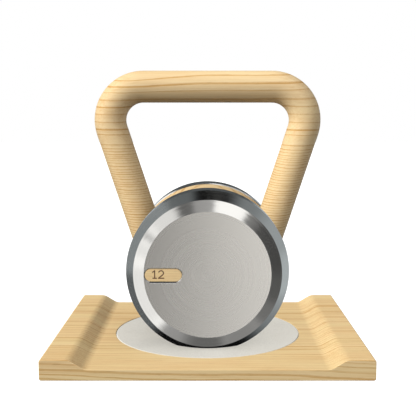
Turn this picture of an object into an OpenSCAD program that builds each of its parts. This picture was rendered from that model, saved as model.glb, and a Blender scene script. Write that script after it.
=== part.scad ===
// Kettlebell with a wooden loop handle and two steel disc weights, standing on its wooden tray.
// Millimetres. +Z is up, the front faces -Y, and the origin is on the floor under the tray's centre.

/* [Disc weights] */
// Radius of each steel disc
disc_r = 75; // [70:0.5:80]
// Width of the straight rim, from the core to the first chamfer
rim_w = 27.7; // [24:0.1:32]
// Depth of the steep chamfer next to the rim
rim_chamfer_d = 12.3; // [8:0.1:14]
// Radius where the steep chamfer meets the shallow one
mid_r = 67.4; // [64:0.1:69]
// Depth of the shallow chamfer around the face
face_chamfer_d = 5; // [4.5:0.1:8]
// Radius of the flat face
face_r = 57.4; // [55:0.1:60]
// Chamfer on the disc's inner edge, next to the core
inner_chamfer = 1; // [0.5:0.1:1.5]
// Distance from the disc's axis down to its flat foot
foot_drop = 69.9; // [69:0.1:72]

/* [Core] */
// Thickness of the wooden core between the discs
core_w = 49; // [46:1:56]
// How far the core lies below the discs' rims
core_inset = 0.95; // [0.5:0.05:3]
// Radius of the round spigot that enters each disc
spigot_r = 30; // [28:0.5:31]
// Length of each spigot
spigot_len = 12; // [10:0.5:14]

/* [Handle] */
// Diameter of the grip and of the arms
grip_d = 30.5; // [28:0.5:32]
// Height of the grip's centreline above the discs' axis
grip_rise = 170.3; // [165:0.1:180]
// Half the distance between the points where the grip's and the arms' centrelines cross
corner_x = 106; // [104:0.5:108]
// Lean of each arm from the vertical, in degrees
arm_lean = 18.2; // [17.6:0.1:18.8]
// Radius of the bend on the centreline
bend_r = 32; // [26:0.5:36]
// Length of an arm's centreline, from that crossing point to the arm's end
arm_len = 190; // [186:1:192]

/* [Clamp] */
// Diameter of the clamp bolt
clamp_d = 16; // [14:1:18]
// Length of the clamp bolt under its head
clamp_len = 100; // [98:1:102]
// Diameter of the counterbore in the rear disc
counterbore_d = 34; // [33:0.5:38]
// Diameter of the dowel pins
dowel_d = 6; // [4:0.5:6.5]
// Distance of the dowel pins from the discs' axis
dowel_x = 23; // [22:0.5:25]

/* [Arm fixings] */
// Diameter of the arm bolts
arm_bolt_d = 8; // [6:1:9]
// Length of the arm bolts under their heads
arm_bolt_len = 80; // [74:1:82]
// Length of the threaded sleeve in each arm
insert_len = 40; // [34:1:44]

/* [Badge] */
// Length of the badge
badge_w = 33.3; // [30:0.1:35]
// Height of the badge
badge_h = 11.3; // [11:0.1:13]
// Distance of the badge's centre from the discs' axis
badge_x = 39.8; // [38:0.1:40]
// Thickness of the badge
badge_t = 2.2; // [1.5:0.1:3]
// Depth of the engraved number
engrave_d = 0.3; // [0.2:0.1:0.6]

/* [Tray] */
// Width of the tray, from side to side
tray_w = 284; // [270:1:300]
// Depth of the tray, from front to back
tray_d = 246; // [230:1:260]
// Thickness of the tray's raised sides
tray_t = 18; // [16:0.1:20]
// How far the wide recess lies below the raised sides
recess_d = 8.4; // [7:0.1:9]
// Width of each raised side's flat top
side_w = 24.5; // [20:0.5:28]
// Width of each ramp from the raised side down to the recess
ramp_w = 13.5; // [12:0.5:18]

/* [Pad and feet] */
// Diameter of the leather pad
pad_d = 179.8; // [170:0.2:184]
// Thickness of the leather pad
pad_t = 3; // [2:0.1:3.4]
// Thickness of the cork under the pad
underlay_t = 1; // [0.5:0.1:1.5]
// Diameter of the anti-slip feet
foot_d = 18; // [14:1:22]
// Thickness of the feet
foot_t = 2; // [1.5:0.1:2.5]
// How far the feet stand below the tray
foot_proud = 0.3; // [0.2:0.1:0.8]

/* [Hidden] */

$fn = 96;

// Colours
ash = [0.90, 0.76, 0.53];
steel = [0.70, 0.69, 0.66];
bolt_steel = [0.45, 0.46, 0.48];
brass = [0.78, 0.62, 0.30];
leather = [0.85, 0.83, 0.79];
cork = [0.66, 0.48, 0.32];
rubber = [0.20, 0.20, 0.20];

fit_gap = 0.05; // radial gap of a glued or driven fit
eps = 0.5; // how far a cut runs past the face that it opens

// Heights above the floor
recess_z = foot_proud + tray_t - recess_d;
axis_z = recess_z + foot_drop;
grip_z = axis_z + grip_rise;

// Distances from the middle plane, along Y
core_y = core_w / 2;
rim_y = core_y + rim_w;
mid_y = rim_y + rim_chamfer_d;
face_y = mid_y + face_chamfer_d;
spigot_y = core_y + spigot_len;
pocket_y = spigot_y + 0.3;

// Disc
pocket_r = spigot_r + 0.1;
dowel_len = 20;

// Clamp stack, from the counterbore's floor to the rear face
seat_y = pocket_y + 4.2;
spring_h = 2.4;
spring_t = 1.6;
washer_t = 3;
spring_end_y = seat_y + spring_h;
head_y = spring_end_y + washer_t;
head_h = 16;
plug_t = 6.5;
clamp_r = clamp_d / 2;
clamp_tip_y = head_y - clamp_len;
tapped_end_y = clamp_tip_y - 3;

// Core
core_r = disc_r - core_inset;
core_foot = foot_drop - 0.7;

// Handle: the bend runs along each centreline for bend_run from where the two lines cross
grip_r = grip_d / 2;
bend_turn = 90 + arm_lean;
bend_run = bend_r * tan(bend_turn / 2);
grip_half = corner_x - bend_run;
bend_swell = 0.04; // how much fuller the bends are, so that the straight lengths end inside them
lap = 1; // how far the straight lengths run into the bends

// Arm fixings, as distances down the arm's centreline from that crossing
arm_seat = arm_len + 40;
arm_washer_t = 1.6;
arm_head_top = arm_seat + arm_washer_t;
arm_head_h = 8;
insert_r = 7;
insert_top = arm_len - insert_len;
arm_bolt_r = arm_bolt_d / 2;
arm_bolt_tip = arm_head_top - arm_bolt_len;

// Badge
badge_gap = 0.3;
notch_w = 24; // straight notch below the badge, to lift it out by
notch_drop = 1.1;
badge_pocket_d = badge_t + 0.1;
stroke = 1.0;
digit_h = 7.8;
digit_rise = 0.7; // the number sits a little above the badge's middle

// Tray
tray_corner_r = 1;
profile_r = 2;
ramp_r = 13;
pad_gap = 0.4;
pad_r = pad_d / 2;
foot_x = tray_w / 2 - 22;
foot_y = tray_d / 2 - 22;

// Points along the rounding of radius r at the corner b between the lines from a and to c
function unit(v) = v / norm(v);
function rounded(a, b, c, r, steps = 8) =
    let (
        u = unit(a - b),
        w = unit(c - b),
        half = acos(u * w) / 2,
        run = r / tan(half),
        centre = b + unit(u + w) * r / sin(half),
        from = b + u * run - centre,
        to = b + w * run - centre,
        turn = 180 - 2 * half
    )
    [for (i = [0:steps])
        let (t = i / steps)
        centre + (from * sin((1 - t) * turn) + to * sin(t * turn)) / sin(turn)];

// Lay a shape that was made around +Z along the discs' axis, from y = 0 towards the rear
module along_axis() {
    translate([0, 0, axis_z])
        rotate([-90, 0, 0])
            children();
}

// A round bar or hole on the discs' axis, from y0 to y1 and shifted sideways by x
module axis_bar(r, y0, y1, x = 0) {
    along_axis()
        translate([x, 0, y0])
            cylinder(r = r, h = y1 - y0);
}

// Place a shape on both arms, with its +Z running down the arm's centreline
module on_arms() {
    for (side = [-1, 1])
        translate([side * corner_x, 0, grip_z])
            rotate([0, 180 + side * arm_lean, 0])
                children();
}

// A round bar or hole down an arm, between two distances along its centreline
module arm_bar(r, from, to) {
    translate([0, 0, from])
        cylinder(r = r, h = to - from);
}

// Everything below a level, for cutting a flat foot
module below(level) {
    translate([-disc_r, -face_y - eps, level - disc_r])
        cube([2 * disc_r, 2 * (face_y + eps), disc_r]);
}

// Solid of revolution of one disc, facing the rear
module disc_body() {
    along_axis()
        rotate_extrude()
            polygon([
                [0, core_y],
                [disc_r - inner_chamfer, core_y],
                [disc_r, core_y + inner_chamfer],
                [disc_r, rim_y],
                [mid_r, mid_y],
                [face_r, face_y],
                [0, face_y]
            ]);
}

// Pocket and dowel holes in a disc's inner side, facing the rear
module disc_inner_cuts() {
    axis_bar(pocket_r, core_y - eps, pocket_y);
    for (side = [-1, 1])
        axis_bar(dowel_d / 2 + fit_gap, pocket_y - eps, pocket_y + dowel_len / 2, side * dowel_x);
}

// Outline of the badge, or of its pocket when grown
module badge_outline(grow = 0) {
    r = badge_h / 2 + grow;
    run = (badge_w - badge_h) / 2;
    translate([-run, -r])
        square([2 * run, 2 * r]);
    for (side = [-1, 1])
        translate([side * run, 0])
            circle(r = r);
}

// Outline of the slot for the badge: a close fit, with a straight notch along its lower side
module badge_slot() {
    badge_outline(badge_gap);
    translate([-notch_w / 2, -badge_h / 2 - badge_gap - notch_drop])
        square([notch_w, badge_h / 2]);
}

// Place a flat outline, drawn as seen from the front, on the plane y and give it a thickness
module on_front(y, thickness) {
    translate([-badge_x, y, axis_z])
        rotate([90, 0, 0])
            linear_extrude(thickness)
                children();
}

// Straight pen stroke between two points
module pen(a, b) {
    d = b - a;
    translate(a)
        rotate(atan2(d[1], d[0]))
            translate([0, -stroke / 2])
                square([norm(d), stroke]);
}

// The number 12, standing on the line v = 0
module number_outline() {
    stem_x = -7.7;
    flag = 2.3;
    serif = 4;
    bowl_r = 2.2;
    bowl = [-1.95, digit_h - bowl_r - stroke / 2];
    foot = [-4.2, stroke / 2];
    base = 5.6;
    translate([stem_x - stroke / 2, 0])
        square([stroke, digit_h]);
    translate([stem_x - serif / 2, 0])
        square([serif, stroke]);
    pen([stem_x - flag, digit_h - 2.1], [stem_x + 0.2, digit_h - 0.6]);
    outer = [for (a = [165:-10:-35]) bowl + (bowl_r + stroke / 2) * [cos(a), sin(a)]];
    inner = [for (a = [-35:10:165]) bowl + (bowl_r - stroke / 2) * [cos(a), sin(a)]];
    polygon(concat(outer, inner));
    pen(foot, bowl + bowl_r * [cos(-35), sin(-35)]);
    translate([foot[0] - 0.5, 0])
        square([base, stroke]);
}

module front_disc() {
    color(steel)
    difference() {
        mirror([0, 1, 0])
            disc_body();
        mirror([0, 1, 0])
            disc_inner_cuts();
        axis_bar(clamp_r + fit_gap, tapped_end_y, -pocket_y + eps);
        on_front(-face_y + badge_pocket_d, badge_pocket_d + eps)
            badge_slot();
        below(axis_z - foot_drop);
    }
}

module rear_disc() {
    color(steel)
    difference() {
        disc_body();
        disc_inner_cuts();
        axis_bar(clamp_r + 0.5, pocket_y - eps, seat_y + eps);
        axis_bar(counterbore_d / 2, seat_y, face_y + eps);
        below(axis_z - foot_drop);
    }
}

module badge() {
    color(ash)
    difference() {
        on_front(-face_y + badge_t, badge_t)
            badge_outline();
        on_front(-face_y + engrave_d, engrave_d + eps)
            translate([0, digit_rise - digit_h / 2])
                number_outline();
    }
}

module core() {
    color(ash)
    difference() {
        union() {
            axis_bar(core_r, -core_y, core_y);
            axis_bar(spigot_r, -spigot_y, spigot_y);
        }
        axis_bar(clamp_r + 0.5, -spigot_y - eps, spigot_y + eps);
        for (side = [-1, 1], end = [-1, 1])
            axis_bar(dowel_d / 2 + fit_gap,
                     min(end * (spigot_y + eps), end * (spigot_y - dowel_len / 2)),
                     max(end * (spigot_y + eps), end * (spigot_y - dowel_len / 2)),
                     side * dowel_x);
        on_arms() {
            arm_bar(grip_r + fit_gap, arm_len - 70, arm_len + fit_gap);
            arm_bar(arm_bolt_r + 0.5, arm_len - eps, arm_seat + eps);
            arm_bar(10, arm_seat, arm_seat + 40);
        }
        below(axis_z - core_foot);
    }
}

module handle() {
    color(ash)
    difference() {
        union() {
            translate([-grip_half - lap, 0, grip_z])
                rotate([0, 90, 0])
                    cylinder(r = grip_r, h = 2 * (grip_half + lap));
            for (side = [0, 1])
                mirror([side, 0, 0])
                    translate([grip_half, 0, grip_z - bend_r])
                        rotate([90, 0, 0])
                            rotate([0, 0, -arm_lean])
                                rotate_extrude(angle = bend_turn)
                                    translate([bend_r, 0])
                                        circle(r = grip_r + bend_swell);
            on_arms()
                arm_bar(grip_r, bend_run - lap, arm_len);
        }
        on_arms() {
            arm_bar(insert_r + fit_gap, insert_top, arm_len + eps);
            arm_bar(arm_bolt_r + 0.5, arm_bolt_tip - 6, insert_top + eps);
        }
    }
}

module clamp_bolt() {
    color(bolt_steel)
    difference() {
        union() {
            axis_bar(clamp_r, clamp_tip_y, head_y + eps);
            axis_bar(0.75 * clamp_d, head_y, head_y + head_h);
        }
        along_axis()
            translate([0, 0, head_y + head_h / 2])
                cylinder(d = clamp_d, h = head_h, $fn = 6);
    }
}

module disc_spring() {
    color(bolt_steel)
    along_axis()
        rotate_extrude()
            polygon([
                [clamp_r + 0.4, seat_y + spring_h - spring_t],
                [counterbore_d / 2 - 1.2, seat_y],
                [counterbore_d / 2 - 1.2, seat_y + spring_t],
                [clamp_r + 0.4, spring_end_y]
            ]);
}

module clamp_washer() {
    color(bolt_steel)
    difference() {
        axis_bar(counterbore_d / 2 - 2, spring_end_y, head_y);
        axis_bar(clamp_r + 0.5, spring_end_y - eps, head_y + eps);
    }
}

module rear_plug() {
    color(ash)
        axis_bar(counterbore_d / 2 - fit_gap, face_y - plug_t, face_y);
}

module dowel_pins() {
    reach = dowel_len / 2 - 0.2;
    color(bolt_steel)
        for (side = [-1, 1], end = [-1, 1])
            axis_bar(dowel_d / 2, end * pocket_y - reach, end * pocket_y + reach, side * dowel_x);
}

module arm_bolts() {
    color(bolt_steel)
        on_arms()
            difference() {
                union() {
                    arm_bar(arm_bolt_r, arm_bolt_tip, arm_head_top + eps);
                    arm_bar(0.8 * arm_bolt_d, arm_head_top, arm_head_top + arm_head_h);
                }
                translate([0, 0, arm_head_top + arm_head_h / 2])
                    cylinder(d = 0.87 * arm_bolt_d, h = arm_head_h, $fn = 6);
            }
}

module arm_washers() {
    color(bolt_steel)
        on_arms()
            difference() {
                arm_bar(8.5, arm_seat, arm_head_top);
                arm_bar(arm_bolt_r + 0.4, arm_seat - eps, arm_head_top + eps);
            }
}

module arm_inserts() {
    color(brass)
        on_arms()
            difference() {
                arm_bar(insert_r, insert_top, arm_len);
                arm_bar(arm_bolt_r + fit_gap, insert_top - eps, arm_len + eps);
            }
}

// Cross-section of the tray, seen from the front, with its underside on the line v = 0
module tray_profile() {
    half = tray_w / 2;
    side_x = half - side_w;
    recess_x = side_x - ramp_w;
    low = tray_t - recess_d;
    right = concat(
        rounded([0, 0], [half, 0], [half, tray_t], profile_r),
        rounded([half, 0], [half, tray_t], [0, tray_t], profile_r),
        rounded([half, tray_t], [side_x, tray_t], [recess_x, low], ramp_r),
        rounded([side_x, tray_t], [recess_x, low], [0, low], ramp_r)
    );
    left = [for (i = [len(right) - 1:-1:0]) [-right[i][0], right[i][1]]];
    polygon(concat(right, left));
}

module tray() {
    color(ash)
    difference() {
        intersection() {
            translate([0, tray_d / 2, foot_proud])
                rotate([90, 0, 0])
                    linear_extrude(tray_d)
                        tray_profile();
            linear_extrude(2 * tray_t)
                offset(tray_corner_r)
                    square([tray_w - 2 * tray_corner_r, tray_d - 2 * tray_corner_r], center = true);
        }
        translate([0, 0, recess_z - pad_t - underlay_t])
            cylinder(r = pad_r + pad_gap, h = tray_t);
        for (x = [-foot_x, foot_x], y = [-foot_y, foot_y])
            translate([x, y, foot_proud - eps])
                cylinder(d = foot_d + 0.4, h = foot_t - foot_proud + eps);
    }
}

module pad() {
    color(leather)
        translate([0, 0, recess_z - pad_t])
            cylinder(r = pad_r, h = pad_t);
}

module pad_underlay() {
    color(cork)
        translate([0, 0, recess_z - pad_t - underlay_t])
            cylinder(r = pad_r - 0.5, h = underlay_t);
}

module foot_pads() {
    color(rubber)
        for (x = [-foot_x, foot_x], y = [-foot_y, foot_y])
            translate([x, y, 0])
                cylinder(d = foot_d, h = foot_t);
}

tray();
pad();
pad_underlay();
foot_pads();
core();
handle();
front_disc();
rear_disc();
badge();
clamp_bolt();
disc_spring();
clamp_washer();
rear_plug();
dowel_pins();
arm_bolts();
arm_washers();
arm_inserts();
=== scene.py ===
"""Looks for the kettlebell on its tray: the visible pieces, their materials, the light and the camera.

Lengths are in metres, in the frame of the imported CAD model. The front faces -Y and +Z is up.
"""

import math

import bmesh
import bpy
from mathutils import Matrix, Vector


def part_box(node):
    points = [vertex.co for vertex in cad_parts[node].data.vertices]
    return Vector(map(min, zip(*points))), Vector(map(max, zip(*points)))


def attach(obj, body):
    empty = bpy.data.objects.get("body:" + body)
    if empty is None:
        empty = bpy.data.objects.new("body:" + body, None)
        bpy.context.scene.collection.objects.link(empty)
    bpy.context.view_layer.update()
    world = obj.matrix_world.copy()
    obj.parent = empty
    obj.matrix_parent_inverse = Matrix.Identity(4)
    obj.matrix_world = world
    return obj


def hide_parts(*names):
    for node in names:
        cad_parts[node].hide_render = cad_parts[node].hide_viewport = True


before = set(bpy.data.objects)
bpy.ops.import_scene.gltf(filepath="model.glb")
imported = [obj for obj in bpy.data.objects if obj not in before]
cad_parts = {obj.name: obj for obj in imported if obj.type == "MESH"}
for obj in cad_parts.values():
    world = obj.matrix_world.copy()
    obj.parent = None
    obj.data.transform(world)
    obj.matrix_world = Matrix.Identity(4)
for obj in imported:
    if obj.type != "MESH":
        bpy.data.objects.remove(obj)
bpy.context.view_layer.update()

MM = 0.001

# ---------------------------------------------------------------- sizes, from the frame where it has them

disc_low, disc_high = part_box("front_disc")
DISC_R = disc_high.x
AXIS_Z = disc_high.z - DISC_R
FOOT_Z = disc_low.z
CORE_Y = -disc_high.y
FACE_Y = -disc_low.y
RIM_W = 27.7 * MM
STEEP_CHAMFER_D = 12.3 * MM
RIM_Y = CORE_Y + RIM_W
MID_Y = RIM_Y + STEEP_CHAMFER_D
MID_R = 67.4 * MM
FACE_R = 57.4 * MM
INNER_CHAMFER = 1 * MM
SPIGOT_R = 30 * MM
SPIGOT_LEN = 12 * MM
POCKET_R = SPIGOT_R + 0.1 * MM
POCKET_Y = CORE_Y + SPIGOT_LEN + 0.3 * MM
SEAT_Y = POCKET_Y + 4.2 * MM
CLAMP_R = 8 * MM
CLAMP_HOLE_R = CLAMP_R + 0.5 * MM
TAPPED_Y = 57 * MM
COUNTERBORE_R = 17 * MM
CORE_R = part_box("core")[1].x
CORE_FOOT_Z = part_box("core")[0].z

GRIP_R = 15.25 * MM
GRIP_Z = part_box("handle")[1].z - GRIP_R
CORNER_X = 106 * MM
ARM_LEAN = math.radians(18.2)
BEND_R = 32 * MM
ARM_LEN = 190 * MM
ARM_SEAT = 230 * MM
ARM_SOCKET_LEN = 70 * MM
ARM_SOCKET_R = GRIP_R + 0.05 * MM
ARM_BOLT_HOLE_R = 4.5 * MM
ARM_HEAD_HOLE_R = 10 * MM
ARM_HEAD_HOLE_LEN = 40 * MM
INSERT_HOLE_R = 7.05 * MM
INSERT_LEN = 40 * MM

tray_low, tray_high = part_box("tray")
RECESS_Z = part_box("pad")[1].z
SIDE_W = 24.5 * MM
RAMP_W = 13.5 * MM
RAMP_R = 13 * MM
PAD_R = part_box("pad")[1].x
PAD_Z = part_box("pad")[0].z
POCKET_FLOOR_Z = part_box("pad_underlay")[0].z
POCKET_EDGE_R = PAD_R + 0.4 * MM
foot_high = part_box("foot_pads")[1]
FOOT_R = 9 * MM

badge_low, badge_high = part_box("badge")
BADGE_H = badge_high.z - badge_low.z
BADGE_W = badge_high.x - badge_low.x
BADGE_X = (badge_high.x + badge_low.x) / 2
BADGE_POCKET_D = 2.3 * MM
BADGE_GAP = 0.3 * MM
NOTCH_W = 24 * MM
NOTCH_DROP = 1.1 * MM


# ---------------------------------------------------------------- mesh helpers

SHARP_ANGLE = math.radians(35)


def rounded(points, radii, steps=5):
    """A closed 2-D outline with each corner rounded to its own radius. A radius of 0 keeps it sharp."""
    outline = []
    count = len(points)
    for i, (corner, radius) in enumerate(zip(points, radii)):
        b = Vector(corner)
        if radius <= 0:
            outline.append(b)
            continue
        u = (Vector(points[i - 1]) - b).normalized()
        w = (Vector(points[(i + 1) % count]) - b).normalized()
        half = u.angle(w) / 2
        centre = b + (u + w).normalized() * radius / math.sin(half)
        start = b + u * radius / math.tan(half) - centre
        end = b + w * radius / math.tan(half) - centre
        turn = math.pi - 2 * half
        for k in range(steps + 1):
            t = k / steps
            mixed = start * math.sin((1 - t) * turn) + end * math.sin(t * turn)
            outline.append(centre + mixed / math.sin(turn))
    return outline


def finish_mesh(name, bm, weighted=True):
    """Turns bm into a linked object with smooth shading that breaks at sharp edges."""
    bmesh.ops.recalc_face_normals(bm, faces=bm.faces)
    mesh = bpy.data.meshes.new(name)
    bm.to_mesh(mesh)
    bm.free()
    mesh.shade_smooth()
    mesh.set_sharp_from_angle(angle=SHARP_ANGLE)
    piece = bpy.data.objects.new(name, mesh)
    bpy.context.scene.collection.objects.link(piece)
    if weighted:
        weigh = piece.modifiers.new("even_normals", "WEIGHTED_NORMAL")
        weigh.keep_sharp = True
        weigh.weight = 100
    return piece


def lathe(outline, segments=192):
    """Revolves a closed outline of (radius, y) points about the discs' axis."""
    bm = bmesh.new()
    rings = []
    for radius, y in outline:
        if radius < 1e-7:
            rings.append([bm.verts.new((0, y, AXIS_Z))])
            continue
        ring = []
        for i in range(segments):
            a = 2 * math.pi * i / segments
            ring.append(bm.verts.new((radius * math.cos(a), y, AXIS_Z + radius * math.sin(a))))
        rings.append(ring)
    for a, b in zip(rings, rings[1:] + rings[:1]):
        if len(a) == 1 and len(b) == 1:
            continue
        for i in range(segments):
            j = (i + 1) % segments
            corners = [a[0]] if len(a) == 1 else [a[i], a[j]]
            corners += [b[0]] if len(b) == 1 else [b[j], b[i]]
            bm.faces.new(corners)
    return bm


def cut_below(bm, level, edge=0.4 * MM):
    """Cuts bm flat at a level, closes it and breaks the new edge."""
    geometry = bm.verts[:] + bm.edges[:] + bm.faces[:]
    bmesh.ops.bisect_plane(bm, geom=geometry, plane_co=(0, 0, level), plane_no=(0, 0, -1), clear_outer=True)
    rim = [e for e in bm.edges if e.is_boundary]
    bmesh.ops.contextual_create(bm, geom=rim)
    bmesh.ops.bevel(bm, geom=rim, offset=edge, segments=2, profile=0.5, affect="EDGES")


def prism(outline, depth):
    """Extrudes a closed outline of (x, z) points along Y, from y = 0 to y = depth."""
    bm = bmesh.new()
    near = [bm.verts.new((x, 0, z)) for x, z in outline]
    face = bm.faces.new(near)
    far = bmesh.ops.extrude_face_region(bm, geom=[face])["geom"]
    bmesh.ops.translate(bm, vec=(0, depth, 0), verts=[v for v in far if isinstance(v, bmesh.types.BMVert)])
    return bm


def rod(start, end, radius_start, radius_end=None, segments=96):
    """A closed cylinder or cone between two points."""
    bm = bmesh.new()
    start, end = Vector(start), Vector(end)
    turn = (end - start).to_track_quat("Z", "Y").to_matrix().to_4x4()
    bmesh.ops.create_cone(
        bm,
        cap_ends=True,
        segments=segments,
        radius1=radius_start,
        radius2=radius_start if radius_end is None else radius_end,
        depth=(end - start).length,
        matrix=Matrix.Translation((start + end) / 2) @ turn,
    )
    return bm


def ring_of(bm, centre, direction, radius, segments):
    """A ring of points round a centreline that lies in the XZ plane."""
    side = Vector((0, 1, 0))
    other = direction.cross(side)
    turns = [2 * math.pi * i / segments for i in range(segments)]
    return [bm.verts.new(centre + radius * (side * math.cos(a) + other * math.sin(a))) for a in turns]


def skin(bm, rings):
    """Joins rings of equally many points, one after the other, and closes both ends."""
    count = len(rings[0])
    for a, b in zip(rings, rings[1:]):
        for i in range(count):
            j = (i + 1) % count
            bm.faces.new([a[i], a[j], b[j], b[i]])
    bm.faces.new(rings[0][::-1])
    bm.faces.new(rings[-1])


def temporary(bm):
    """A helper object for a Boolean cut, with its normals facing out."""
    bmesh.ops.recalc_face_normals(bm, faces=bm.faces)
    mesh = bpy.data.meshes.new("cutter")
    bm.to_mesh(mesh)
    bm.free()
    tool = bpy.data.objects.new("cutter", mesh)
    bpy.context.scene.collection.objects.link(tool)
    return tool


def cut(bm, cutters):
    """The solid bm less each solid in cutters."""
    body = temporary(bm)
    tools = [temporary(c) for c in cutters]
    for tool in tools:
        step = body.modifiers.new("cut", "BOOLEAN")
        step.operation = "DIFFERENCE"
        step.solver = "MANIFOLD"
        step.object = tool
    depsgraph = bpy.context.evaluated_depsgraph_get()
    mesh = bpy.data.meshes.new_from_object(body.evaluated_get(depsgraph))
    result = bmesh.new()
    result.from_mesh(mesh)
    for helper in [body, *tools]:
        bpy.data.objects.remove(helper)
    bpy.data.meshes.remove(mesh)
    return result


def place(piece, body, slot, *nodes):
    """Rides the piece on a body, sets by its finish which rays see it, and hides the CAD nodes that it stands
    for.

    The steel reflects only the studio and the other disc. Only the discs and the handle shade other pieces.
    """
    piece.visible_glossy = slot == "disc_steel"
    piece.visible_diffuse = slot in ("disc_steel", "handle_wood")
    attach(piece, body)
    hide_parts(*nodes)
    return piece


# ---------------------------------------------------------------- material helpers


class Graph:
    """Short calls for building a node tree. An input is a number, a vector or another node's socket."""

    def __init__(self, tree):
        self.tree = tree
        tree.nodes.clear()

    def node(self, kind, inputs=(), **settings):
        made = self.tree.nodes.new(kind)
        for key, value in settings.items():
            setattr(made, key, value)
        for key, value in dict(inputs).items():
            self.feed(made.inputs[key], value)
        return made

    def feed(self, socket, value):
        if isinstance(value, bpy.types.NodeSocket):
            self.tree.links.new(value, socket)
        else:
            socket.default_value = value

    def math(self, operation, *values, clamp=False):
        made = self.node("ShaderNodeMath", operation=operation, use_clamp=clamp)
        for socket, value in zip(made.inputs, values):
            self.feed(socket, value)
        return made.outputs[0]

    def total(self, *values):
        result = values[0]
        for value in values[1:]:
            result = self.math("ADD", result, value)
        return result

    def product(self, *values):
        result = values[0]
        for value in values[1:]:
            result = self.math("MULTIPLY", result, value)
        return result

    def ramp(self, value, low, high, out_low=0.0, out_high=1.0, smooth=True):
        kind = "SMOOTHSTEP" if smooth else "LINEAR"
        made = self.node("ShaderNodeMapRange", interpolation_type=kind)
        for key, number in (
            ("Value", value), ("From Min", low), ("From Max", high), ("To Min", out_low), ("To Max", out_high)
        ):
            self.feed(made.inputs[key], number)
        return made.outputs["Result"]

    def mix(self, share, a, b):
        made = self.node("ShaderNodeMix", data_type="RGBA")
        self.feed(made.inputs["Factor"], share)
        self.feed(made.inputs["A"], colour(a))
        self.feed(made.inputs["B"], colour(b))
        return made.outputs["Result"]

    def scaled(self, vector, scale, offset=(0, 0, 0)):
        made = self.node("ShaderNodeMapping", {"Vector": vector, "Scale": scale, "Location": offset})
        return made.outputs["Vector"]

    def noise(self, vector, scale=1.0, detail=2.0, rough=0.5):
        made = self.node(
            "ShaderNodeTexNoise",
            {"Vector": vector, "Scale": scale, "Detail": detail, "Roughness": rough},
        )
        return made.outputs["Fac"]

    def noise_line(self, value, scale=1.0, detail=2.0, rough=0.5):
        made = self.node(
            "ShaderNodeTexNoise",
            {"W": value, "Scale": scale, "Detail": detail, "Roughness": rough},
            noise_dimensions="1D",
        )
        return made.outputs["Fac"]

    def vector(self, operation, inputs):
        return self.node("ShaderNodeVectorMath", inputs, operation=operation).outputs[0]

    def split(self, vector):
        return self.node("ShaderNodeSeparateXYZ", {"Vector": vector}).outputs

    def here(self):
        return self.node("ShaderNodeTexCoord").outputs["Object"]

    def bump(self, height, strength, distance, facing=None):
        made = self.node("ShaderNodeBump", {"Height": height, "Strength": strength, "Distance": distance})
        if facing is not None:
            self.feed(made.inputs["Normal"], facing)
        return made.outputs[0]

    def grey(self, value):
        return self.node("ShaderNodeCombineColor", {"Red": value, "Green": value, "Blue": value}).outputs[0]

    def surface(self, inputs):
        shader = self.node("ShaderNodeBsdfPrincipled", inputs)
        self.node("ShaderNodeOutputMaterial", {"Surface": shader.outputs["BSDF"]})


def colour(value):
    """A colour of three numbers gets its fourth; a socket stays as it is."""
    if isinstance(value, (tuple, list)) and len(value) == 3:
        return (*value, 1.0)
    return value


def material(name):
    made = bpy.data.materials.new(name)
    made.use_nodes = True
    return made, Graph(made.node_tree)


# ---------------------------------------------------------------- materials

ASH_PALE = (0.935, 0.700, 0.39)
ASH_LINE = (0.60, 0.29, 0.05)


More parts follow.
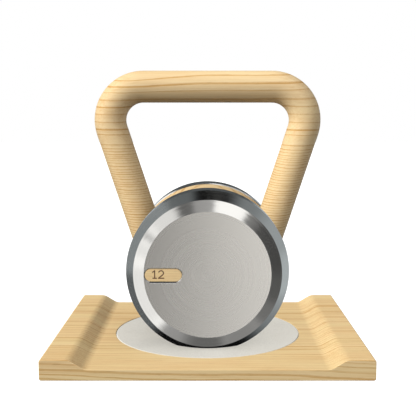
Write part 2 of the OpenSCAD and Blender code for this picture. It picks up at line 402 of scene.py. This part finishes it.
def wood(name, heart, narrow, wide, change, lean=(0.0, 0.0), drift=6 * MM, seed=0.0, pale=ASH_PALE,
         dark=ASH_LINE, contrast=1.0, bands=0.0, dip=None, painted_side_shade=0.0, extra=None):
    """Ash from a log whose heart runs along X through heart = (y, z).

    The year rings are narrow up to the distance `change` from the heart, and wide beyond it. Each ring
    opens with a thin dark line of pores. Fibres, pores and the wider bands of tone run along X. The rings
    can dip by dip = (depth, x where it is full, x where it ends, z where it ends, z where it is full).
    Sides that face along Y are darkened by a given share, as painted shade for the light that they miss.
    """
    made, g = material(name)
    here = g.here()
    x, y, z = g.split(here)
    across = g.math("SUBTRACT", g.math("SUBTRACT", y, heart[0]), g.product(x, lean[0]))
    up = g.math("SUBTRACT", g.math("SUBTRACT", z, heart[1]), g.product(x, lean[1]))
    if dip is not None:
        depth, x_full, x_none, z_none, z_full = dip
        sunk = g.ramp(x, x_full, x_none, depth, 0.0)
        up = g.total(up, g.product(sunk, g.ramp(z, z_none, z_full, smooth=False)))
    radius = g.math("SQRT", g.total(g.product(across, across), g.product(up, up)))
    wander = g.noise(g.scaled(here, (5, 12, 12), (seed, seed, 0)), detail=1.0)
    ripple = g.noise(g.scaled(here, (30, 160, 160), (0, seed, seed)), detail=2.0)
    radius = g.total(
        radius,
        g.product(g.math("SUBTRACT", wander, 0.5), drift),
        g.product(g.math("SUBTRACT", ripple, 0.5), 1.0 * MM),
    )
    slow = g.product(g.math("MINIMUM", radius, change), 1 / narrow - 1 / wide)
    width = g.ramp(radius, change - MM, change + MM, narrow, wide)
    uneven = g.noise_line(g.product(radius, 1 / wide), scale=0.9, detail=1.0)
    years = g.total(g.product(radius, 1 / wide), slow, g.product(uneven, 1.3))
    year = g.math("FLOOR", years)
    share = g.math("FRACT", years)
    inside = g.product(share, width)
    of_year = g.noise_line(g.math("ADD", year, seed + 0.37), scale=0.77, detail=0.0)
    strength = g.ramp(of_year, 0.25, 0.75, 0.60, 1.0)
    fading = g.total(1.0, g.product(g.math("SUBTRACT", inside, 0.45 * MM), g.math("DIVIDE", -4.0, width)))
    line = g.product(g.ramp(inside, 0.0, 0.25 * MM), g.ramp(fading, 0.0, 1.0), strength)
    late = g.product(g.ramp(share, 0.25, 1.0), 0.15)

    streak = g.noise(g.scaled(here, (90, 2600, 2600), (seed, 0, 0)), detail=2.0, rough=0.6)
    pores = g.product(g.ramp(streak, 0.56, 0.70), g.ramp(line, 0.02, 0.5, 0.20, 1.0))
    fibre = g.noise(g.scaled(here, (16, 620, 620), (0, seed, 0)), detail=3.0, rough=0.6)
    cloud = g.noise(g.scaled(here, (7, 40, 40), (seed, 0, seed)), detail=2.0)
    band = g.noise(g.scaled(here, (3, 170, 230), (seed, seed, 0)), detail=2.0, rough=0.65)

    tone = g.mix(g.product(g.math("MAXIMUM", line, late), contrast), pale, dark)
    tone = g.mix(g.ramp(fibre, 0.35, 0.75, 0.0, 0.32), tone, dark)
    tone = g.mix(g.ramp(band, 0.38, 0.72, 0.0, bands), tone, dark)
    tone = g.mix(g.ramp(cloud, 0.35, 0.75, 0.0, 0.35), tone, tuple(min(1.12 * c, 0.97) for c in pale))
    tone = g.mix(g.product(pores, 0.45), tone, tuple(0.50 * c for c in dark))
    # Painted shade: sides that face along Y are darkened towards black, standing in for the light they miss.
    facing = g.math("ABSOLUTE", g.split(g.node("ShaderNodeNewGeometry").outputs["Normal"])[1])
    tone = g.mix(g.ramp(facing, 0.5, 0.9, 0.0, painted_side_shade), tone, (0.0, 0.0, 0.0))
    height = g.math("SUBTRACT", g.product(line, -0.3), g.product(pores, 0.7))
    if extra is not None:
        tone, height = extra(g, here, tone, height)
    g.surface({
        "Base Color": tone,
        "Roughness": g.ramp(fibre, 0.2, 0.8, 0.44, 0.58),
        "Specular IOR Level": 0.8,
        "Normal": g.bump(height, 0.35, 0.12 * MM),
    })
    return made


def steel(name, roughness, anisotropy, ring_depth, waver=0.0, tone=(0.66, 0.65, 0.63)):
    """Turned steel: fine grooves run round the discs' axis, and each leans a little way round by waver."""
    made, g = material(name)
    here = g.here()
    x, y, z = g.split(here)
    up = g.math("SUBTRACT", z, AXIS_Z)
    radius = g.math("SQRT", g.total(g.product(x, x), g.product(up, up)))
    away = g.node("ShaderNodeCombineXYZ", {"X": x, "Y": 0.0, "Z": up}).outputs[0]
    outward = g.vector("NORMALIZE", {0: away})
    along = g.math("ADD", radius, y)

    broad = g.math("SUBTRACT", g.noise_line(along, scale=330, detail=0.5), 0.5)
    fine = g.math("SUBTRACT", g.noise_line(along, scale=2600, detail=1.0), 0.5)
    wear = g.noise(g.scaled(here, (40, 40, 40)), detail=3.0)
    shade = g.total(0.5, broad, g.product(fine, 0.3))
    worn = g.product(g.math("SUBTRACT", wear, 0.5), 0.02)

    around = g.vector("CROSS_PRODUCT", {0: outward, 1: (0.0, 1.0, 0.0)})
    lean = g.product(g.math("SUBTRACT", g.noise_line(along, scale=900, detail=2.0), 0.5), waver)
    shift = g.vector("SCALE", {0: around, "Scale": lean})
    flat = g.node("ShaderNodeNewGeometry").outputs["Normal"]
    facing = g.vector("NORMALIZE", {0: g.vector("ADD", {0: flat, 1: shift})})
    g.surface({
        "Base Color": g.mix(shade, tuple(0.955 * c for c in tone), tuple(1.025 * c for c in tone)),
        "Metallic": 1.0,
        "Roughness": g.total(roughness, g.product(broad, 0.10), worn),
        "Anisotropic": anisotropy,
        "Tangent": outward,
        "Normal": g.bump(broad, ring_depth, 0.05 * MM, facing),
    })
    return made


def leather():
    made, g = material("pad_leather")
    here = g.here()
    cells = g.node("ShaderNodeTexVoronoi", {"Vector": here, "Scale": 900.0}, feature="DISTANCE_TO_EDGE")
    crease = g.ramp(cells.outputs["Distance"], 0.0, 0.22)
    fine = g.noise(here, scale=2200, detail=2.0)
    cloud = g.noise(here, scale=28, detail=3.0)
    tone = g.mix(g.ramp(cloud, 0.3, 0.7), (0.768, 0.742, 0.667), (0.828, 0.803, 0.727))
    tone = g.mix(g.ramp(crease, 0.0, 1.0, 0.5, 0.0), tone, (0.54, 0.51, 0.45))
    height = g.total(g.product(crease, 0.8), g.product(fine, 0.3))
    g.surface({
        "Base Color": tone,
        "Roughness": g.ramp(fine, 0.2, 0.8, 0.62, 0.78),
        "Specular IOR Level": 0.25,
        "Sheen Weight": 0.15,
        "Normal": g.bump(height, 0.5, 0.15 * MM),
    })
    return made


def cork():
    made, g = material("underlay_cork")
    here = g.here()
    grains = g.node("ShaderNodeTexVoronoi", {"Vector": here, "Scale": 700.0})
    speck = g.noise(here, scale=1300, detail=3.0)
    tone = g.mix(g.split(grains.outputs["Color"])[0], (0.36, 0.22, 0.11), (0.56, 0.38, 0.22))
    tone = g.mix(g.ramp(speck, 0.62, 0.70), tone, (0.12, 0.06, 0.03))
    g.surface({
        "Base Color": tone,
        "Roughness": g.ramp(speck, 0.2, 0.8, 0.8, 0.95),
        "Normal": g.bump(grains.outputs["Distance"], 0.5, 0.2 * MM),
    })
    return made


def rubber():
    made, g = material("foot_rubber")
    here = g.here()
    grit = g.noise(here, scale=1800, detail=3.0)
    dust = g.noise(here, scale=60, detail=2.0)
    g.surface({
        "Base Color": g.mix(g.ramp(dust, 0.4, 0.8), (0.025, 0.025, 0.026), (0.060, 0.058, 0.055)),
        "Roughness": g.ramp(grit, 0.2, 0.8, 0.55, 0.80),
        "Normal": g.bump(grit, 0.4, 0.1 * MM),
    })
    return made


def fixing_metal(name, low, high, roughness):
    """Plain turned fixings: a fine machined grain with a little handling wear."""
    made, g = material(name)
    here = g.here()
    grain = g.noise(g.scaled(here, (900, 900, 3500)), detail=2.0)
    wear = g.noise(here, scale=120, detail=3.0)
    g.surface({
        "Base Color": g.mix(g.ramp(wear, 0.3, 0.7), low, high),
        "Metallic": 1.0,
        "Roughness": g.total(roughness, g.product(grain, 0.15)),
        "Normal": g.bump(grain, 0.2, 0.03 * MM),
    })
    return made


def burnt_number(g, here, tone, height):
    """Darkens the floor of the badge's engraving, which lies behind the badge's face."""
    depth = g.math("ADD", g.split(here)[1], FACE_Y)
    burn = g.ramp(depth, 0.02 * MM, 0.12 * MM)
    side = g.ramp(depth, 0.4 * MM, 0.5 * MM, 1.0, 0.0)
    return g.mix(g.product(burn, side), tone, (0.10, 0.035, 0.012)), height


HANDLE_WOOD = wood("handle_wood", heart=(0.030, -0.2583), narrow=2.4 * MM, wide=7.5 * MM,
                   change=0.4515, lean=(0.0, 0.008), drift=9 * MM, seed=3.0,
                   dip=(6 * MM, -80 * MM, 5 * MM, 238 * MM, 262 * MM))
CORE_WOOD = wood("core_wood", heart=(0.030, -0.250), narrow=3.0 * MM, wide=7.5 * MM, change=0.437, seed=11.0,
                 pale=tuple(1.05 * c for c in ASH_PALE))
# The tray's sides that face along Y carry painted shade.
TRAY_WOOD = wood("tray_wood", heart=(-0.200, -0.035), narrow=2.0 * MM, wide=5.0 * MM, change=0.125,
                 lean=(0.0, -0.02), seed=7.0, contrast=0.95, bands=0.12, painted_side_shade=0.12, pale=(0.97, 0.727, 0.39))
BADGE_WOOD = wood("badge_wood", heart=(-0.050, 0.180), narrow=1.6 * MM, wide=3 * MM, change=0.5, drift=2 * MM,
                  seed=5.0, pale=(0.95, 0.71, 0.38), dark=(0.78, 0.50, 0.22), extra=burnt_number)
FACE_STEEL = steel("disc_face_steel", roughness=0.27, anisotropy=0.20, ring_depth=0.05,
                   tone=(0.665, 0.64, 0.60))
BEVEL_STEEL = steel("disc_bevel_steel", roughness=0.18, anisotropy=0.75, ring_depth=0.04, waver=0.08)
# Painted shade: near-black steel for the walls and floors of the badge slot and the bores, standing in for
# the shade inside them.
SLOT_SHADE_STEEL = steel("disc_slot_painted_shade", roughness=0.45, anisotropy=0.0, ring_depth=0.05,
                   tone=(0.07, 0.068, 0.064))
PAD_LEATHER = leather()
CORK = cork()
FOOT_RUBBER = rubber()
FIXING_STEEL = fixing_metal("fixing_steel", (0.30, 0.31, 0.32), (0.42, 0.43, 0.44), 0.30)
INSERT_BRASS = fixing_metal("insert_brass", (0.60, 0.42, 0.16), (0.74, 0.55, 0.25), 0.28)


# ---------------------------------------------------------------- the steel discs

EDGE = 0.45 * MM


def disc_outline(inner):
    """Half section of a disc facing the rear: from its inner side out to its face, then the inner points."""
    corners = [
        (POCKET_R, CORE_Y), (DISC_R - INNER_CHAMFER, CORE_Y), (DISC_R, CORE_Y + INNER_CHAMFER),
        (DISC_R, RIM_Y), (MID_R, MID_Y), (FACE_R, FACE_Y),
    ]
    radii = [0.3 * MM, 0.1 * MM, 0.1 * MM, EDGE, EDGE, EDGE]
    corners += inner
    radii += [0.0] * len(inner)
    return rounded(corners, radii, steps=3)


def pill(centre_x, centre_z, width, height, steps=24):
    """Outline of a bar with round ends, as (x, z) points."""
    r = height / 2
    run = (width - height) / 2
    ends = []
    for side, start in ((1, -90), (-1, 90)):
        for i in range(steps + 1):
            a = math.radians(start + 180 * i / steps)
            ends.append((centre_x + side * run + r * math.cos(a), centre_z + r * math.sin(a)))
    return ends


def slot_outlines(grow):
    """The outlines of the badge's slot and of the straight notch below it, each grown by a margin."""
    spare = 2 * (BADGE_GAP + grow)
    slot = pill(BADGE_X, AXIS_Z, BADGE_W + spare, BADGE_H + spare)
    half = NOTCH_W / 2 + grow
    top = AXIS_Z - 2 * MM
    bottom = AXIS_Z - BADGE_H / 2 - BADGE_GAP - NOTCH_DROP - grow
    left = BADGE_X - half
    right = BADGE_X + half
    return [slot, [(left, bottom), (right, bottom), (right, top), (left, top)]]


def loft(outline_near, y_near, outline_far, y_far):
    """A closed solid between two outlines of equally many points on two planes across Y."""
    bm = bmesh.new()
    near = [bm.verts.new((x, y_near, z)) for x, z in outline_near]
    far = [bm.verts.new((x, y_far, z)) for x, z in outline_far]
    bm.faces.new(near)
    bm.faces.new(far[::-1])
    for i in range(len(near)):
        j = (i + 1) % len(near)
        bm.faces.new([near[j], near[i], far[i], far[j]])
    return bm


def paint_disc(piece, face_sign):
    """Satin face, polished chamfers and rim, and near-black steel inside the slot and the bores, painted dark
    as shade for those hollows.
    """
    for paint in (FACE_STEEL, BEVEL_STEEL, SLOT_SHADE_STEEL):
        piece.data.materials.append(paint)
    for polygon in piece.data.polygons:
        centre = polygon.center
        inner = math.hypot(centre.x, centre.z - AXIS_Z) < FACE_R - 0.2 * MM
        deep = abs(centre.y) < FACE_Y - MM
        wall = abs(polygon.normal.y) < 0.3
        flat = polygon.normal.y * face_sign > 0.999
        # Slot and bore walls and floors take the near-black steel, as painted shade.
        polygon.material_index = 2 if inner and (deep or wall) else 0 if flat else 1


def front_disc():
    bm = lathe(disc_outline([
        (0, FACE_Y), (0, TAPPED_Y), (CLAMP_R, TAPPED_Y), (CLAMP_R, POCKET_Y), (POCKET_R, POCKET_Y),
    ]))
    bmesh.ops.scale(bm, vec=(1, -1, 1), verts=bm.verts)
    cut_below(bm, FOOT_Z)
    lip = 0.45 * MM
    cutters = []
    for outline, wide in zip(slot_outlines(0), slot_outlines(2 * lip)):
        cutters.append(loft(outline, -FACE_Y - MM, outline, -FACE_Y + BADGE_POCKET_D))
        cutters.append(loft(wide, -FACE_Y - lip, outline, -FACE_Y + lip))
    bm = cut(bm, cutters)
    piece = finish_mesh("front_weight", bm)
    paint_disc(piece, -1)
    place(piece, "kettlebell", "disc_steel", "front_disc")


def rear_disc():
    bm = lathe(disc_outline([
        (COUNTERBORE_R + 0.4 * MM, FACE_Y), (COUNTERBORE_R, FACE_Y - 0.4 * MM), (COUNTERBORE_R, SEAT_Y),
        (CLAMP_HOLE_R, SEAT_Y), (CLAMP_HOLE_R, POCKET_Y), (POCKET_R, POCKET_Y),
    ]))
    cut_below(bm, FOOT_Z)
    piece = finish_mesh("rear_weight", bm)
    paint_disc(piece, 1)
    place(piece, "kettlebell", "disc_steel", "rear_disc")


# ---------------------------------------------------------------- the wooden core and handle


def arm_point(side, run):
    """The point at a distance down an arm's centreline from where it crosses the grip's."""
    return Vector((side * (CORNER_X - run * math.sin(ARM_LEAN)), 0, GRIP_Z - run * math.cos(ARM_LEAN)))


def arm_cutter(side, segments=96):
    """The socket, bolt hole and counterbore of one arm, as one stepped solid down its centreline."""
    steps = [
        (ARM_LEN - ARM_SOCKET_LEN, ARM_SOCKET_R),
        (ARM_LEN, ARM_SOCKET_R),
        (ARM_LEN, ARM_BOLT_HOLE_R),
        (ARM_SEAT, ARM_BOLT_HOLE_R),
        (ARM_SEAT, ARM_HEAD_HOLE_R),
        (ARM_SEAT + ARM_HEAD_HOLE_LEN, ARM_HEAD_HOLE_R),
    ]
    down = (arm_point(side, 1) - arm_point(side, 0)).normalized()
    bm = bmesh.new()
    rings = [ring_of(bm, arm_point(side, run), down, radius, segments) for run, radius in steps]
    skin(bm, rings)
    return bm


def core_drum():
    spigot_y = CORE_Y + SPIGOT_LEN
    corners = [
        (CLAMP_HOLE_R, -spigot_y), (SPIGOT_R, -spigot_y), (SPIGOT_R, -CORE_Y), (CORE_R, -CORE_Y),
        (CORE_R, CORE_Y), (SPIGOT_R, CORE_Y), (SPIGOT_R, spigot_y), (CLAMP_HOLE_R, spigot_y),
    ]
    bm = lathe(rounded(corners, [0, 0, 0, 0.3 * MM, 0.3 * MM, 0, 0, 0], steps=2))
    cut_below(bm, CORE_FOOT_Z)
    piece = finish_mesh("wooden_core", cut(bm, [arm_cutter(side) for side in (-1, 1)]))
    piece.data.materials.append(CORE_WOOD)
    place(piece, "kettlebell", "core_wood", "core")


def handle_route():
    """Centre and direction of each ring of the loop, from the left arm's end to the right arm's end."""
    bend_turn = math.pi / 2 + ARM_LEAN
    bend_run = BEND_R * math.tan(bend_turn / 2)
    half = []
    arm_steps = 40
    bend_steps = 26
    for i in range(arm_steps):
        run = ARM_LEN + (bend_run - ARM_LEN) * i / arm_steps
        half.append((arm_point(-1, run), Vector((-math.sin(ARM_LEAN), 0, math.cos(ARM_LEAN)))))
    centre = Vector((-(CORNER_X - bend_run), 0, GRIP_Z - BEND_R))
    for i in range(bend_steps + 1):
        a = math.pi + ARM_LEAN - bend_turn * i / bend_steps
        spoke = Vector((math.cos(a), 0, math.sin(a)))
        half.append((centre + BEND_R * spoke, Vector((spoke.z, 0, -spoke.x))))
    grip_steps = 12
    middle = [
        (Vector((-(CORNER_X - bend_run) * (1 - 2 * i / grip_steps), 0, GRIP_Z)), Vector((1, 0, 0)))
        for i in range(1, grip_steps)
    ]
    mirrored = [(Vector((-p.x, 0, p.z)), Vector((d.x, 0, -d.z))) for p, d in reversed(half)]
    return half + middle + mirrored


def handle_loop(segments=80):
    bm = bmesh.new()
    route = handle_route()
    arris = 0.5 * MM

    def ring(point, direction, radius):
        return ring_of(bm, point, direction, radius, segments)

    start, end = route[0], route[-1]
    rings = [ring(start[0] + start[1] * INSERT_LEN, start[1], INSERT_HOLE_R), ring(*start, INSERT_HOLE_R)]
    rings += [ring(*start, GRIP_R - arris), ring(start[0] + start[1] * arris, start[1], GRIP_R)]
    rings += [ring(*stop, GRIP_R) for stop in route[1:-1]]
    rings += [ring(end[0] - end[1] * arris, end[1], GRIP_R), ring(*end, GRIP_R - arris)]
    rings += [ring(*end, INSERT_HOLE_R), ring(end[0] - end[1] * INSERT_LEN, end[1], INSERT_HOLE_R)]
    skin(bm, rings)
    piece = finish_mesh("wooden_handle", bm, weighted=False)
    piece.data.materials.append(HANDLE_WOOD)
    place(piece, "kettlebell", "handle_wood", "handle")


# ---------------------------------------------------------------- badge, plug and fixings


def carry(node, paint, edge=0.0):
    """Keeps a CAD node with a better material. Its sharp edges are broken where edge gives a width."""
    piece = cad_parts[node]
    piece.visible_glossy = False
    piece.visible_diffuse = False
    piece.data.materials.clear()
    piece.data.materials.append(paint)
    weld = piece.modifiers.new("weld", "WELD")
    weld.merge_threshold = 1e-6
    if edge:
        bevel = piece.modifiers.new("edges", "BEVEL")
        bevel.width = edge
        bevel.segments = 2
        bevel.limit_method = "ANGLE"
        bevel.angle_limit = math.radians(40)
        bevel.harden_normals = True
    return piece


def carried_nodes():
    carry("badge", BADGE_WOOD)
    carry("rear_plug", BADGE_WOOD, 0.3 * MM)
    for node in ("clamp_bolt", "disc_spring", "clamp_washer", "dowel_pins", "arm_bolts", "arm_washers"):
        carry(node, FIXING_STEEL, 0.2 * MM)
    carry("arm_inserts", INSERT_BRASS, 0.2 * MM)
    carry("pad_underlay", CORK)
    carry("foot_pads", FOOT_RUBBER, 0.2 * MM)


# ---------------------------------------------------------------- tray and pad


def tray_board():
    half = tray_high.x
    side_x = half - SIDE_W
    recess_x = side_x - RAMP_W
    low = tray_low.z
    top = tray_high.z
    right = [(half, low), (half, top), (side_x, top), (recess_x, RECESS_Z)]
    corners = right + [(-x, z) for x, z in reversed(right)]
    end_r = 2 * MM
    half_radii = [end_r, end_r, RAMP_R, RAMP_R]
    outline = rounded(corners, half_radii + half_radii[::-1], steps=10)
    bm = prism(outline, tray_high.y - tray_low.y)
    bmesh.ops.translate(bm, vec=(0, tray_low.y, 0), verts=bm.verts)
    bmesh.ops.recalc_face_normals(bm, faces=bm.faces)
    outer = [e for e in bm.edges if e.calc_face_angle(0) > math.radians(60)]
    bmesh.ops.bevel(bm, geom=outer, offset=0.6 * MM, segments=3, profile=0.5, affect="EDGES")
    chamfer = 0.25 * MM
    chamfer_top_r = POCKET_EDGE_R + 2 * chamfer
    cutters = [
        rod((0, 0, POCKET_FLOOR_Z), (0, 0, RECESS_Z + 10 * MM), POCKET_EDGE_R, segments=256),
        rod((0, 0, RECESS_Z - chamfer), (0, 0, RECESS_Z + chamfer), POCKET_EDGE_R, chamfer_top_r,
            segments=256),
    ]
    foot_x = foot_high.x - FOOT_R
    foot_y = foot_high.y - FOOT_R
    for x in (-foot_x, foot_x):
        for y in (-foot_y, foot_y):
            cutters.append(rod((x, y, -MM), (x, y, foot_high.z), FOOT_R + 0.2 * MM, segments=64))
    piece = finish_mesh("tray_board", cut(bm, cutters))
    piece.data.materials.append(TRAY_WOOD)
    place(piece, "stand", "tray_wood", "tray")


def leather_pad(rings=48, segments=256):
    """A flat leather disc with a softly rounded rim, in rings so that its surface can carry fine relief."""
    bm = bmesh.new()
    edge = 0.9 * MM
    outline = [(PAD_R - 0.15 * MM, PAD_Z)]
    for i in range(7):
        a = math.pi / 2 * i / 6
        outline.append((PAD_R - edge + edge * math.cos(a), RECESS_Z - edge + edge * math.sin(a)))
    flat = PAD_R - edge
    outline += [(flat * (1 - i / rings), RECESS_Z) for i in range(1, rings)]
    loops = []
    for radius, z in outline:
        turns = [2 * math.pi * i / segments for i in range(segments)]
        loops.append([bm.verts.new((radius * math.cos(a), radius * math.sin(a), z)) for a in turns])
    for a, b in zip(loops, loops[1:]):
        for i in range(segments):
            j = (i + 1) % segments
            bm.faces.new([a[i], a[j], b[j], b[i]])
    centre = bm.verts.new((0, 0, RECESS_Z))
    for i in range(segments):
        bm.faces.new([loops[-1][i], loops[-1][(i + 1) % segments], centre])
    bm.faces.new(loops[0][::-1])
    piece = finish_mesh("leather_pad", bm)
    piece.data.materials.append(PAD_LEATHER)
    place(piece, "stand", "pad_leather", "pad")


# ---------------------------------------------------------------- stage, light and camera

# Cards of the studio that the steel reflects. A direction is given by its clock angle about the axis from the
# object to the front (0 is right, 90 is up) and by its spread, which is 0 towards the front and 180 behind.
# Each row: clock centre, half width and softness; spread from, to and softness; brightness.
CARDS = [
    (66, 17, 5, 34, 74, 8, 1.45),
    (42, 8, 12, 34, 94, 8, 0.16),
    (94, 10.5, 8, 34, 72, 6, 0.40),
    (110, 7, 8, 34, 72, 6, 0.11),
    (139.5, 17.5, 10, 34, 94, 8, 1.02),
    (158, 8, 8, 34, 94, 8, 0.34),
    (199.3, 37.3, 7, 34, 94, 8, 1.12),
    (183, 5, 6, 34, 94, 8, 0.24),
    (-116, 12, 14, 34, 94, 8, 0.36),
    (-90, 12, 8, 34, 94, 8, 0.11),
    (-66, 14, 8, 34, 94, 8, 0.26),
    (-44, 9, 10, 34, 94, 8, 0.10),
    (-35, 22, 16, 34, 94, 8, 0.05),
    (131, 11, 6, 76, 94, 6, 0.70),
    (93, 8, 6, 72, 80, 4, 0.90),
    (82, 5.5, 4, 78, 94, 6, 1.40),
    (62, 14, 10, 78, 94, 6, 0.75),
    (-14, 16, 12, 96, 150, 8, 0.13),
    (-1, 39, 24, 96, 150, 8, 0.20),
    (2, 62, 22, 96, 150, 8, 0.28),
    (148.5, 46.5, 12, 96, 150, 8, 0.18),
    (161, 34, 10, 96, 150, 8, 0.15),
    (-143, 20, 10, 96, 150, 8, 0.15),
    (90, 80, 10, 156, 190, 8, 0.09),
    (-90, 84, 10, 154, 190, 8, 0.62),
]
ROOM = 0.08
ROOM_BEHIND = 0.003
TINT_FRONT = (1.0, 1.0, 0.99)
TINT_BEHIND = (0.91, 1.0, 1.04)
FRONT_LEFT = 0.02
FRONT_RIGHT = 1.24
FRONT_SPREAD = 32

# Soft light on matt surfaces: an even part, and a part that grows along this direction
MATT_LEVEL = 0.172
MATT_TILT = (0.129, -0.263, 0.295)
MATT_BACK = 0.30


def studio_world():
    """White for the camera, a soft light for matt surfaces, and a studio of cards for gloss and for steel.

    A glossy ray that follows a diffuse one misses the cards, so the discs throw no glints on the wood.
    """
    world = bpy.data.worlds.new("studio")
    world.use_nodes = True
    bpy.context.scene.world = world
    g = Graph(world.node_tree)
    x, y, z = g.split(g.node("ShaderNodeTexCoord").outputs["Generated"])
    degrees = 180 / math.pi
    spread = g.product(g.math("ARCCOSINE", g.product(y, -1.0)), degrees)
    clock = g.product(g.math("ARCTAN2", z, x), degrees)

    def inside(distance, half, soft):
        return g.ramp(distance, half - soft / 2, half + soft / 2, 1.0, 0.0)

    def card(centre, half, soft, near, far, edge, level):
        turn = g.math("ABSOLUTE", g.math("WRAP", g.math("SUBTRACT", clock, centre), 180, -180))
        depth = g.math("ABSOLUTE", g.math("SUBTRACT", spread, (near + far) / 2))
        return g.product(inside(turn, half, soft), inside(depth, (far - near) / 2, edge), level)

    gloss = g.ramp(spread, 90, 100, ROOM, ROOM_BEHIND)
    for row in CARDS:
        gloss = g.math("ADD", gloss, card(*row))
    front = g.ramp(x, -0.12, 0.12, FRONT_LEFT, FRONT_RIGHT)
    gloss = g.math("ADD", gloss, g.product(inside(spread, FRONT_SPREAD, 10), front))
    tint = g.mix(g.ramp(spread, 90, 100), TINT_FRONT, TINT_BEHIND)
    studio = g.vector("SCALE", {0: tint, "Scale": gloss})
    tilted = g.total(g.product(x, MATT_TILT[0]), g.product(y, MATT_TILT[1]), g.product(z, MATT_TILT[2]))
    matt = g.math("MAXIMUM", g.math("ADD", tilted, MATT_LEVEL), 0.0)
    matt = g.total(matt, g.ramp(y, 0.3, 1.0, 0.0, MATT_BACK))
    path = g.node("ShaderNodeLightPath").outputs
    direct = g.math("SUBTRACT", 1.0, path["Diffuse Depth"], clamp=True)
    light = g.mix(g.product(path["Is Glossy Ray"], direct), g.grey(matt), studio)
    seen = g.mix(path["Is Camera Ray"], light, (1.0, 1.0, 1.0))
    shader = g.node("ShaderNodeBackground", {"Color": seen, "Strength": 1.0})
    g.node("ShaderNodeOutputWorld", {"Surface": shader.outputs[0]})


def key_light():
    """A broad shadowless light from the upper left front, which only matt surfaces take."""
    lamp = bpy.data.lights.new("key", "SUN")
    lamp.energy = 3.38
    lamp.angle = math.radians(42)
    lamp.use_shadow = False
    key = bpy.data.objects.new("key", lamp)
    towards = Vector((0.702, 0.378, -0.603))
    key.rotation_mode = "QUATERNION"
    key.rotation_quaternion = towards.to_track_quat("-Z", "Y")
    key.visible_glossy = False
    bpy.context.scene.collection.objects.link(key)


def floor():
    """A plain white floor that shows only the softest shadow."""
    bm = bmesh.new()
    bmesh.ops.create_grid(bm, x_segments=2, y_segments=2, size=6)
    piece = finish_mesh("floor", bm, weighted=False)
    made, g = material("floor_white")
    g.surface({"Base Color": (0.9, 0.9, 0.9, 1), "Roughness": 0.9, "Specular IOR Level": 0.0,
               "Emission Color": (1, 1, 1, 1), "Emission Strength": 0.42})
    piece.data.materials.append(made)
    piece.visible_diffuse = False
    piece.visible_glossy = False


def camera():
    sight = bpy.data.cameras.new("camera")
    sight.sensor_width = 36
    sight.lens = 68.84
    sight.shift_y = -0.0238
    sight.clip_start = 0.01
    view = bpy.data.objects.new("camera", sight)
    view.location = (0.0004, -0.7728, 0.2215)
    view.rotation_euler = (math.radians(90 - 5.85), 0, 0)
    bpy.context.scene.collection.objects.link(view)
    bpy.context.scene.camera = view


camera()
studio_world()
key_light()
floor()
bpy.context.scene.view_settings.view_transform = "Standard"

front_disc()
rear_disc()
core_drum()
handle_loop()
tray_board()
leather_pad()
carried_nodes()
